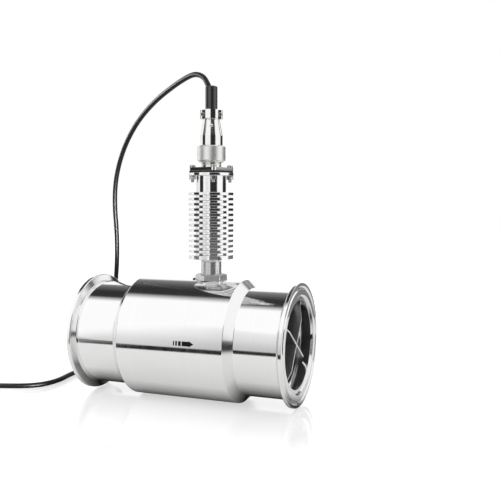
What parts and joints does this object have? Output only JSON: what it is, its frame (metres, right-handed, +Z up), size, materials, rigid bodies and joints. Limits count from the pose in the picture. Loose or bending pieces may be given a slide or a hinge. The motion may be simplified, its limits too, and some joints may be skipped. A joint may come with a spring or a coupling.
{
  "type": "turbine flow meter",
  "caption": "Turbine flow meter for clamped hygienic pipe: steel run with clamp ferrules, free rotor between straighteners, finned pickup above, plug and cable.",
  "frame": {"origin": "on the standing surface, under the middle of the pipe run", "axes": "+X along the flow, from inlet to outlet; +Z up, along the pickup housing"},
  "size_m": [0.3243, 0.1253, 0.2499],
  "materials": {
    "polished_stainless": "turned and polished stainless steel, near mirror",
    "satin_stainless": "machined stainless steel, satin",
    "bearing_carbide": "sintered carbide, ground",
    "plated_fasteners": "zinc plated steel",
    "plated_brass": "brass with bright nickel plating",
    "gilt_contacts": "gold flashed brass",
    "black_insulator": "moulded thermoset",
    "black_rubber": "moulded black rubber, matt",
    "cable_jacket": "extruded black sheath, semi-gloss",
    "core_insulation": "coloured core insulation",
    "tie_nylon": "black nylon strap",
    "coil_copper": "enamelled copper wire",
    "bobbin_nylon": "natural nylon",
    "soft_iron": "bare iron and magnet alloy",
    "circuit_board": "green lacquered board"
  },
  "bodies": {
    "meter": {"meter_body": "polished_stainless", "finned_housing": "polished_stainless", "lock_nut": "satin_stainless", "inlet_vane_a": "satin_stainless", "inlet_vane_b": "satin_stainless", "outlet_vane_a": "satin_stainless", "outlet_vane_b": "satin_stainless", "inlet_hub": "satin_stainless", "outlet_hub": "satin_stainless", "inlet_retaining_ring": "satin_stainless", "outlet_retaining_ring": "satin_stainless", "inlet_bush": "bearing_carbide", "outlet_bush": "bearing_carbide", "inlet_thrust_pad": "bearing_carbide", "outlet_thrust_pad": "bearing_carbide", "flange_screws": "plated_fasteners", "flange_washers": "plated_fasteners", "flange_nuts": "plated_fasteners", "socket_shell": "plated_brass", "contact_pins": "gilt_contacts", "socket_insert": "black_insulator", "socket_gasket": "black_rubber", "pickup_leads": "core_insulation", "pickup_coil": "coil_copper", "coil_leads": "coil_copper", "coil_bobbin": "bobbin_nylon", "pole_piece": "soft_iron", "pickup_magnet": "soft_iron", "amplifier_board": "circuit_board"},
    "rotor": {"rotor": "satin_stainless", "rotor_shaft": "satin_stainless"},
    "plug": {"plug_barrel": "plated_brass", "plug_insert": "black_insulator", "contact_sockets": "gilt_contacts", "plug_shell": "plated_brass", "shell_set_screw": "plated_fasteners", "cable_clamp": "plated_brass", "clamp_screws": "plated_fasteners", "cable_boot": "black_rubber", "cable_end": "cable_jacket", "solder_cores": "core_insulation", "cable": "cable_jacket", "cable_coil": "cable_jacket", "coil_tie": "tie_nylon", "cable_tail": "cable_jacket", "bare_cores": "core_insulation"},
    "ring": {"coupling_ring": "plated_brass"}
  },
  "joints": [
    {"name": "rotor_spin", "type": "hinge", "parent": "meter", "child": "rotor", "pos_m": [0.014, 0, 0.046], "axis": [1, 0, 0], "continuous": true},
    {"name": "plug_lift", "type": "slide", "parent": "meter", "child": "plug", "axis": [0, 0, 1], "range_m": [0, 0.007]},
    {"name": "ring_turn", "type": "hinge", "parent": "plug", "child": "ring", "pos_m": [0.014, 0, 0.186], "axis": [0, 0, 1], "range_deg": [0, 2520]}
  ],
  "couplings": [
    {"joint": "ring_turn", "follows": "plug_lift", "rad_per_m": 6283.2}
  ]
}
